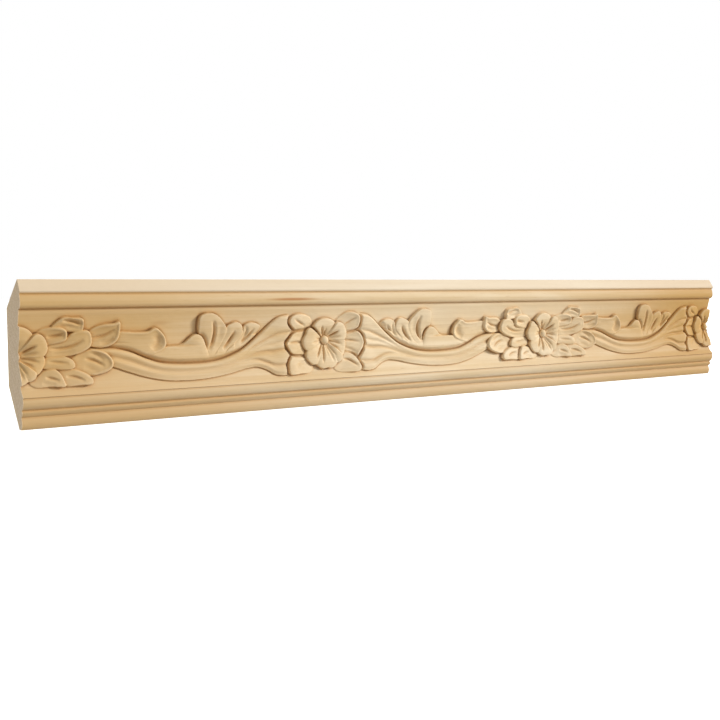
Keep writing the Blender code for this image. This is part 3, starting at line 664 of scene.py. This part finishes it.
def carve_board(grid):
    """Wraps a fine grid round the section, raises the carving on it and closes both ends."""
    outline = section(grid)
    columns = round(LENGTH / grid)
    rows = len(outline)
    bm = bmesh.new()
    bmesh.ops.create_grid(bm, x_segments=columns, y_segments=rows, size=0.5)
    verts = list(bm.verts)
    column = np.array([round((vert.co.x + 0.5) * columns) for vert in verts])
    row = np.array([round((vert.co.y + 0.5) * rows) for vert in verts]) % rows
    depth = np.array([point[0] for point in outline])[row]
    rise = np.array([point[1] for point in outline])[row]
    x = column * LENGTH / columns
    carved = (rise > CARVED_FOOT) & (rise < CARVED_TOP) & (depth > FRONT_FROM)
    depth[carved] += relief(x[carved], rise[carved])
    for vert, along, front, up in zip(verts, x, depth, rise):
        vert.co = place(float(along), float(front), float(up))
    bmesh.ops.remove_doubles(bm, verts=bm.verts, dist=WELD_DISTANCE)
    ends = [edge for edge in bm.edges if edge.is_boundary]
    bmesh.ops.holes_fill(bm, edges=ends, sides=0)
    bmesh.ops.recalc_face_normals(bm, faces=bm.faces)
    return bm


def settle(board, triangles):
    """Merges the flat stretches of the carved grid, keeps the result as the piece's mesh and shades it."""
    rough = board.data
    flat = board.modifiers.new("flat_stretches", "DECIMATE")
    flat.ratio = min(1.0, triangles / sum(len(face.vertices) - 2 for face in rough.polygons))
    flat.use_collapse_triangulate = True
    graph = bpy.context.evaluated_depsgraph_get()
    board.data = bpy.data.meshes.new_from_object(board.evaluated_get(graph))
    board.data.name = board.name
    board.modifiers.clear()
    bpy.data.meshes.remove(rough)
    # Merging can leave an end a rounding error past the frame
    for vert in board.data.vertices:
        vert.co.x = min(max(vert.co.x, BOARD_LOW[0]), BOARD_HIGH[0])
    for face in board.data.polygons:
        face.use_smooth = abs(face.normal.x) < END_FACING
    board.data.set_sharp_from_angle(angle=math.radians(SHARP_ANGLE))


def mark_painted_shading(mesh):
    """Keeps on each vertex its share of painted shade and highlight, for the wood's colour."""
    places = np.empty(len(mesh.vertices) * 3)
    mesh.vertices.foreach_get("co", places)
    places = places.reshape(-1, 3)
    x = (places[:, 0] - BOARD_LOW[0]) / MM
    rise = (places[:, 2] - BOARD_LOW[2]) / MM
    front = (BOARD_HIGH[1] - places[:, 1]) / MM > FRONT_FROM
    carved = front & (rise > CARVED_FOOT) & (rise < CARVED_TOP)
    shading_share = np.zeros(len(mesh.vertices))
    shading_share[carved] = crease(x[carved], rise[carved])
    mesh.attributes.new("crease", "FLOAT", "POINT").data.foreach_set("value", shading_share)


def linear(colour):
    """An sRGB hex value as linear red, green, blue and a full alpha."""
    parts = [int(colour[digit:digit + 2], 16) / 255 for digit in (1, 3, 5)]
    parts = [part / 12.92 if part <= 0.04045 else ((part + 0.055) / 1.055) ** 2.4 for part in parts]
    return (*parts, 1.0)


def add_node(tree, kind, links=(), inputs=(), **settings):
    """Adds a node with its settings, its fixed inputs and its links from other nodes' outputs."""
    node = tree.nodes.new(kind)
    for name, value in settings.items():
        setattr(node, name, value)
    for socket, value in inputs:
        node.inputs[socket].default_value = value
    for socket, source in links:
        tree.links.new(source, node.inputs[socket])
    return node


def stretched(tree, position, size, centre=(0.0, 0.0, 0.0)):
    """Object space scaled so that one unit is a pattern's real length along the grain and width across."""
    along, across = size
    scale = (1 / (along * MM), 1 / (across * MM), 1 / (across * MM))
    shift = tuple(-middle * MM * factor for middle, factor in zip(centre, scale))
    return add_node(tree, "ShaderNodeMapping", [("Vector", position)],
                    [("Scale", scale), ("Location", shift)]).outputs["Vector"]


def blend(tree, share, first, second):
    """Mixes two colours, each a fixed one or a node's output, by a share between 0 and 1."""
    node = add_node(tree, "ShaderNodeMix", data_type="RGBA")
    for socket, value in zip(MIX_INPUTS, (share, first, second)):
        if isinstance(value, tuple):
            node.inputs[socket].default_value = value
        else:
            tree.links.new(value, node.inputs[socket])
    return node.outputs[MIX_RESULT]


def rescale(tree, value, low, high, to_low=0.0, to_high=1.0):
    """A value's range from low to high turned smoothly to a new range."""
    return add_node(tree, "ShaderNodeMapRange", [("Value", value)],
                    [("From Min", low), ("From Max", high), ("To Min", to_low), ("To Max", to_high)],
                    interpolation_type="SMOOTHSTEP").outputs["Result"]


def tint(tree, colour, tone, value, span, share):
    """Lays a tone over a colour, from none at the start of a value's span to a share at its end."""
    return blend(tree, rescale(tree, value, *span, 0.0, share), colour, tuple(tone))


def noise(tree, position, size, detail, roughness=0.5):
    """Soft random spots of a length and a width, as a value between 0 and 1."""
    return add_node(tree, "ShaderNodeTexNoise", [("Vector", stretched(tree, position, size))],
                    [("Scale", 1.0), ("Detail", detail), ("Roughness", roughness)]).outputs["Fac"]


def patch(tree, position, centre, reach, share):
    """A soft oval mark on the face: its share at the middle, 0 past its reach and on the back."""
    middle = place(centre[0], 0.0, centre[1])
    scale = (1 / (reach[0] * MM), 0.0, 1 / (reach[1] * MM))
    shift = tuple(-at * factor for at, factor in zip(middle, scale))
    oval = add_node(tree, "ShaderNodeMapping", [("Vector", position)],
                    [("Scale", scale), ("Location", shift)]).outputs["Vector"]
    far = add_node(tree, "ShaderNodeVectorMath", [(0, oval)], operation="LENGTH").outputs["Value"]
    mark = rescale(tree, far, 1.0, MARK_CORE, 0.0, share)
    inwards = add_node(tree, "ShaderNodeSeparateXYZ", [("Vector", position)]).outputs["Y"]
    front = rescale(tree, inwards, *[place(0.0, depth, 0.0).y for depth in FRONT_DEPTHS])
    return add_node(tree, "ShaderNodeMath", [(0, mark), (1, front)], operation="MULTIPLY").outputs["Value"]


def straight_grain(tree, finish, position, along, rings, fibre):
    """Mottled wood with growth lines, fibres and short pores, deeper in tone towards both ends."""
    mottle = rescale(tree, noise(tree, position, MOTTLE, 2.0), *MOTTLE_SPAN)
    colour = blend(tree, mottle, tuple(finish.light), tuple(finish.middle))
    colour = tint(tree, colour, finish.dark, rings, *RING_TONE)
    colour = tint(tree, colour, finish.dark, fibre, *FIBRE_TONE)
    colour = tint(tree, colour, finish.pore, noise(tree, position, PORE, 1.0), *PORE_TONE)
    for span, share in DEEPER_ENDS:
        colour = tint(tree, colour, finish.heart, along, [place(x, 0.0, 0.0).x for x in span], share)
    return colour


def light_shade_bands_and_marks(tree, finish, position, up, colour):
    """Lays the painted-light bands, the painted shade in the grooves, the dark foot, the few marks on the
    wood and a painted pool of light over the grain.
    """
    for span, share in PAINTED_LIGHT_BANDS:
        colour = tint(tree, colour, finish.pale, up, [place(0.0, 0.0, rise).z for rise in span], share)
    # Painted shade along the section's grooves
    for rise, reach, share in GROOVE_SHADE:
        groove_shade = patch(tree, position, (LENGTH / 2, rise), (GROOVE_SHADE_LENGTH, reach), share)
        colour = blend(tree, groove_shade, colour, tuple(finish.crease))
    span, share = FOOT_BAND
    colour = tint(tree, colour, finish.dark, up, [place(0.0, 0.0, rise).z for rise in span], share)
    # The wood's own marks, and a painted pool of light on the middle of the upper cove
    for centre, reach, share, tone in MARKS_AND_LIGHT_POOL:
        mark = patch(tree, position, centre, reach, share)
        colour = blend(tree, mark, colour, tuple(getattr(finish, tone)))
    return colour


def sawn_ends(tree, finish, position, along, rings, colour):
    """Changes the colour to specked end grain on both sawn ends, its pale tone partly painted light for the
    dimly lit left end.
    """
    speck = rescale(tree, noise(tree, position, END_SPECK, 2.0), *END_SPECK_SPAN)
    grain = blend(tree, speck, tuple(finish.end), tuple(finish.middle))
    grain = tint(tree, grain, finish.dark, rings, *END_RING_TONE)
    off_middle = add_node(tree, "ShaderNodeMath", [(0, along)], operation="ABSOLUTE").outputs["Value"]
    half = place(LENGTH, 0.0, 0.0).x
    sawn = rescale(tree, off_middle, half - 2 * END_GRAIN_DEPTH * MM, half - END_GRAIN_DEPTH * MM)
    return blend(tree, sawn, colour, grain)


def add_bump(tree, height, strength, depth, links=()):
    """Raises the surface by a value, up to a depth in millimetres."""
    return add_node(tree, "ShaderNodeBump", [("Height", height), *links],
                    [("Strength", strength), ("Distance", depth * MM)]).outputs["Normal"]


def bare_rubberwood(finish):
    """Rubberwood, sanded and left bare: a pale straight grain with short pores, matt and warm, with painted
    shade and painted light laid into its colour.
    """
    material = bpy.data.materials.new("bare_rubberwood")
    material.use_nodes = True
    tree = material.node_tree
    shader = tree.nodes["Principled BSDF"]
    position = add_node(tree, "ShaderNodeTexCoord").outputs["Object"]
    split = add_node(tree, "ShaderNodeSeparateXYZ", [("Vector", position)]).outputs
    rings = add_node(tree, "ShaderNodeTexWave", [("Vector", stretched(tree, position, RINGS, PITH))],
                     RING_WAVE, wave_type="RINGS", rings_direction="X", wave_profile="SAW").outputs["Fac"]
    fibre = noise(tree, position, FIBRE, 4.0, 0.6)
    # Each vertex's share of painted shade and highlight
    shading_share = add_node(tree, "ShaderNodeAttribute", attribute_name="crease").outputs["Fac"]
    colour = straight_grain(tree, finish, position, split["X"], rings, fibre)
    # Painted highlight on rims, painted shade in hollows, and deeper painted shade on steep left sides
    for span, share, tone in SHADING_TONES:
        colour = tint(tree, colour, getattr(finish, tone), shading_share, span, share)
    colour = light_shade_bands_and_marks(tree, finish, position, split["Z"], colour)
    colour = sawn_ends(tree, finish, position, split["X"], rings, colour)
    tree.links.new(colour, shader.inputs["Base Color"])
    grain = add_bump(tree, fibre, *GRAIN_BUMP)
    tooled = add_bump(tree, noise(tree, position, TOOLING, 1.0), *TOOL_BUMP, [("Normal", grain)])
    tree.links.new(tooled, shader.inputs["Normal"])
    matt = rescale(tree, fibre, *ROUGHNESS_SPAN, *ROUGHNESS)
    tree.links.new(matt, shader.inputs["Roughness"])
    shader.inputs["Specular IOR Level"].default_value = SPECULAR
    return material


def shooting_table(colour):
    """Opal acrylic shooting table, matt on top and lit a little from below."""
    material = bpy.data.materials.new("opal_acrylic_table")
    material.use_nodes = True
    shader = material.node_tree.nodes["Principled BSDF"]
    shader.inputs["Base Color"].default_value = tuple(colour)
    shader.inputs["Roughness"].default_value = FLOOR_ROUGHNESS
    shader.inputs["Specular IOR Level"].default_value = FLOOR_SPECULAR
    shader.inputs["Emission Color"].default_value = tuple(colour)
    shader.inputs["Emission Strength"].default_value = FLOOR_GLOW
    return material


def add_softbox(name, location, size, power, target):
    """A square soft light that looks at the target and isn't seen itself."""
    light = bpy.data.lights.new(name, "AREA")
    light.size = size
    light.energy = power
    lamp = bpy.data.objects.new(name, light)
    bpy.context.scene.collection.objects.link(lamp)
    lamp.location = target + Vector(location)
    lamp.rotation_euler = (target - lamp.location).to_track_quat("-Z", "Y").to_euler()
    lamp.visible_camera = False
    return lamp


def add_camera():
    """The camera at the photograph's eye point, turned and tilted as the photograph is."""
    camera = bpy.data.cameras.new("photo_camera")
    camera.sensor_width = SENSOR_WIDTH
    camera.lens = SENSOR_WIDTH * FOCAL_PIXELS / IMAGE_SIDE
    camera.clip_start = 10 * MM
    yaw, pitch, roll = (math.radians(angle) for angle in (CAMERA_YAW, CAMERA_PITCH, CAMERA_ROLL))
    forward = Vector((math.sin(yaw) * math.cos(pitch), math.cos(yaw) * math.cos(pitch), -math.sin(pitch)))
    level = Vector((math.cos(yaw), -math.sin(yaw), 0.0))
    upright = level.cross(forward)
    right = level * math.cos(roll) + upright * math.sin(roll)
    up = upright * math.cos(roll) - level * math.sin(roll)
    eye = bpy.data.objects.new("photo_camera", camera)
    bpy.context.scene.collection.objects.link(eye)
    eye.matrix_world = Matrix.Translation(place(*EYE)) @ Matrix((right, up, -forward)).transposed().to_4x4()
    bpy.context.scene.camera = eye


class CarvingSettings(bpy.types.PropertyGroup):
    """How finely the board is carved"""

    grid: FloatProperty(name="Carving grid", description="Spacing of the points that carry the relief",
                        default=0.45 * MM, min=0.3 * MM, unit="LENGTH")
    triangles: IntProperty(name="Triangles", description="Triangles of the finished board",
                           default=190000, min=10000, max=199000)


class WoodSettings(bpy.types.PropertyGroup):
    """The colours of the bare wood, and of the painted light and shade laid on it"""

    # Also the painted highlight on rims and the painted pool of light on the upper cove
    light: FloatVectorProperty(name="Light wood", description="Palest wood between the growth lines",
                               default=linear("#f3dcb6"), size=4, subtype="COLOR")
    # Painted light on the up-facing top facet and lower cove
    pale: FloatVectorProperty(name="Pale wood", description="Wood of the top facet and the lower cove",
                              default=linear("#f4e6cf"), size=4, subtype="COLOR")
    middle: FloatVectorProperty(name="Middle wood", description="Wood of the broad darker bands",
                                default=linear("#e7ca9b"), size=4, subtype="COLOR")
    dark: FloatVectorProperty(name="Late wood", description="Growth lines and fibres",
                              default=linear("#cda66e"), size=4, subtype="COLOR")
    pore: FloatVectorProperty(name="Pores", description="Short open pores",
                              default=linear("#b5854c"), size=4, subtype="COLOR")
    # Painted shade in the hollows, at the foot of each form and in the section's grooves
    crease: FloatVectorProperty(name="Cut lines", description="Wood at the foot of each form and in seams",
                                default=linear("#b9884a"), size=4, subtype="COLOR")
    # Specked end grain; its pale tone is partly painted light for the left end, which the lamps leave dim
    end: FloatVectorProperty(name="End grain", description="Sawn end of the board",
                             default=linear("#fae0bd"), size=4, subtype="COLOR")
    # Deeper painted shade on the steepest left-facing sides, which the key light leaves in shade
    deep_painted_shade: FloatVectorProperty(name="Deep cut", description="Burnt brown of the steepest cut sides",
                              default=linear("#7a4c22"), size=4, subtype="COLOR")
    # A deeper, darker golden tone laid towards both ends of the board
    heart: FloatVectorProperty(name="Heart side", description="Deeper golden wood towards both ends",
                               default=linear("#cb9f59"), size=4, subtype="COLOR")
    streak: FloatVectorProperty(name="Streak", description="Reddish streak on the rounded upper edge",
                                default=linear("#b4702f"), size=4, subtype="COLOR")


class StudioSettings(bpy.types.PropertyGroup):
    """The lights, the room and the floor"""

    key: FloatProperty(name="Key light", description="Soft light from the upper right", default=1100.0,
                       min=0.0, unit="POWER")
    fill: FloatProperty(name="Fill light", description="Weak wide light from the front left", default=2.0,
                        min=0.0, unit="POWER")
    rear: FloatProperty(name="Rear light", description="Wide light on the plain back", default=20.0,
                        min=0.0, unit="POWER")
    surround: FloatProperty(name="Surround", description="Brightness of the room's ceiling", default=0.52,
                            min=0.0, max=1.0)
    floor_glow: FloatProperty(name="Floor glow", description="Brightness that the floor throws back",
                              default=0.43, min=0.0, max=1.0)
    left_wall: FloatProperty(name="Left wall", description="Brightness of the room's left side",
                             default=0.85, min=0.0, max=1.0)
    floor: FloatVectorProperty(name="Floor", description="Colour of the shooting table",
                               default=linear("#f8f7f4"), size=4, subtype="COLOR")


class MOULDING_OT_carve(bpy.types.Operator):
    """Carves the board with its flowers, leaf sprays and vine"""

    bl_idname = "moulding.carve"
    bl_label = "Carve Moulding"

    def execute(self, context):
        carving = context.scene.moulding_carving
        bm = carve_board(carving.grid / MM)
        mesh = bpy.data.meshes.new("carved_board")
        bm.to_mesh(mesh)
        bm.free()
        board = bpy.data.objects.new("carved_board", mesh)
        context.scene.collection.objects.link(board)
        settle(board, carving.triangles)
        mark_painted_shading(board.data)
        board.data.materials.append(bare_rubberwood(context.scene.moulding_wood))
        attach(board, "root")
        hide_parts("crown_moulding")
        return {"FINISHED"}


class MOULDING_OT_stage(bpy.types.Operator):
    """Lays the pale floor and sets the soft lights and the camera"""

    bl_idname = "moulding.stage"
    bl_label = "Set Stage"

    def execute(self, context):
        studio = context.scene.moulding_studio
        bm = bmesh.new()
        under = Matrix.Translation((0.0, 0.0, BOARD_LOW[2] - FLOOR_DROP))
        bmesh.ops.create_grid(bm, x_segments=1, y_segments=1, size=FLOOR_SIDE / 2, matrix=under)
        mesh = bpy.data.meshes.new("studio_floor")
        bm.to_mesh(mesh)
        bm.free()
        mesh.materials.append(shooting_table(studio.floor))
        floor = bpy.data.objects.new("studio_floor", mesh)
        floor.visible_diffuse = False
        context.scene.collection.objects.link(floor)
        middle = (Vector(BOARD_LOW) + Vector(BOARD_HIGH)) / 2
        add_softbox("key_light", KEY_PLACE, KEY_SIZE, studio.key, middle)
        add_softbox("fill_light", FILL_PLACE, FILL_SIZE, studio.fill, middle)
        add_softbox("rear_light", REAR_PLACE, REAR_SIZE, studio.rear, middle)
        room = bpy.data.worlds.new("white_room")
        room.use_nodes = True
        tree = room.node_tree
        direction = add_node(tree, "ShaderNodeTexCoord").outputs["Generated"]
        parts = add_node(tree, "ShaderNodeSeparateXYZ", [("Vector", direction)]).outputs
        lit = rescale(tree, parts["Z"], *ROOM_UPWARDS, studio.floor_glow, studio.surround)
        wall = rescale(tree, parts["X"], *ROOM_TO_RIGHT, studio.left_wall, 1.0)
        lit = add_node(tree, "ShaderNodeMath", [(0, lit), (1, wall)], operation="MULTIPLY").outputs["Value"]
        seen = add_node(tree, "ShaderNodeLightPath").outputs["Is Camera Ray"]
        strength = add_node(tree, "ShaderNodeMath", [(0, lit), (1, seen)], operation="MAXIMUM")
        background = tree.nodes["Background"]
        background.inputs["Color"].default_value = linear("#ffffff")
        tree.links.new(strength.outputs["Value"], background.inputs["Strength"])
        context.scene.world = room
        context.scene.view_settings.view_transform = "Standard"
        add_camera()
        return {"FINISHED"}


class MOULDING_PT_panel(bpy.types.Panel):
    """Lists the moulding's steps and settings"""

    bl_label = "Crown Moulding"
    bl_space_type = "VIEW_3D"
    bl_region_type = "UI"
    bl_category = "Moulding"

    def draw(self, context):
        scene = context.scene
        for settings in (scene.moulding_carving, scene.moulding_wood, scene.moulding_studio):
            box = self.layout.box()
            for name in settings.__annotations__:
                box.prop(settings, name)
        self.layout.operator(MOULDING_OT_carve.bl_idname)
        self.layout.operator(MOULDING_OT_stage.bl_idname)


CLASSES = (CarvingSettings, WoodSettings, StudioSettings, MOULDING_OT_carve, MOULDING_OT_stage,
           MOULDING_PT_panel)


def register():
    """Registers the classes and puts their settings on the scene."""
    for kind in CLASSES:
        bpy.utils.register_class(kind)
    bpy.types.Scene.moulding_carving = PointerProperty(type=CarvingSettings)
    bpy.types.Scene.moulding_wood = PointerProperty(type=WoodSettings)
    bpy.types.Scene.moulding_studio = PointerProperty(type=StudioSettings)


def unregister():
    """Takes the settings and the classes away again."""
    del bpy.types.Scene.moulding_studio
    del bpy.types.Scene.moulding_wood
    del bpy.types.Scene.moulding_carving
    for kind in reversed(CLASSES):
        bpy.utils.unregister_class(kind)


def main():
    """Makes the moulding and its stage."""
    register()
    bpy.ops.moulding.carve()
    bpy.ops.moulding.stage()


if __name__ == "__main__":
    main()
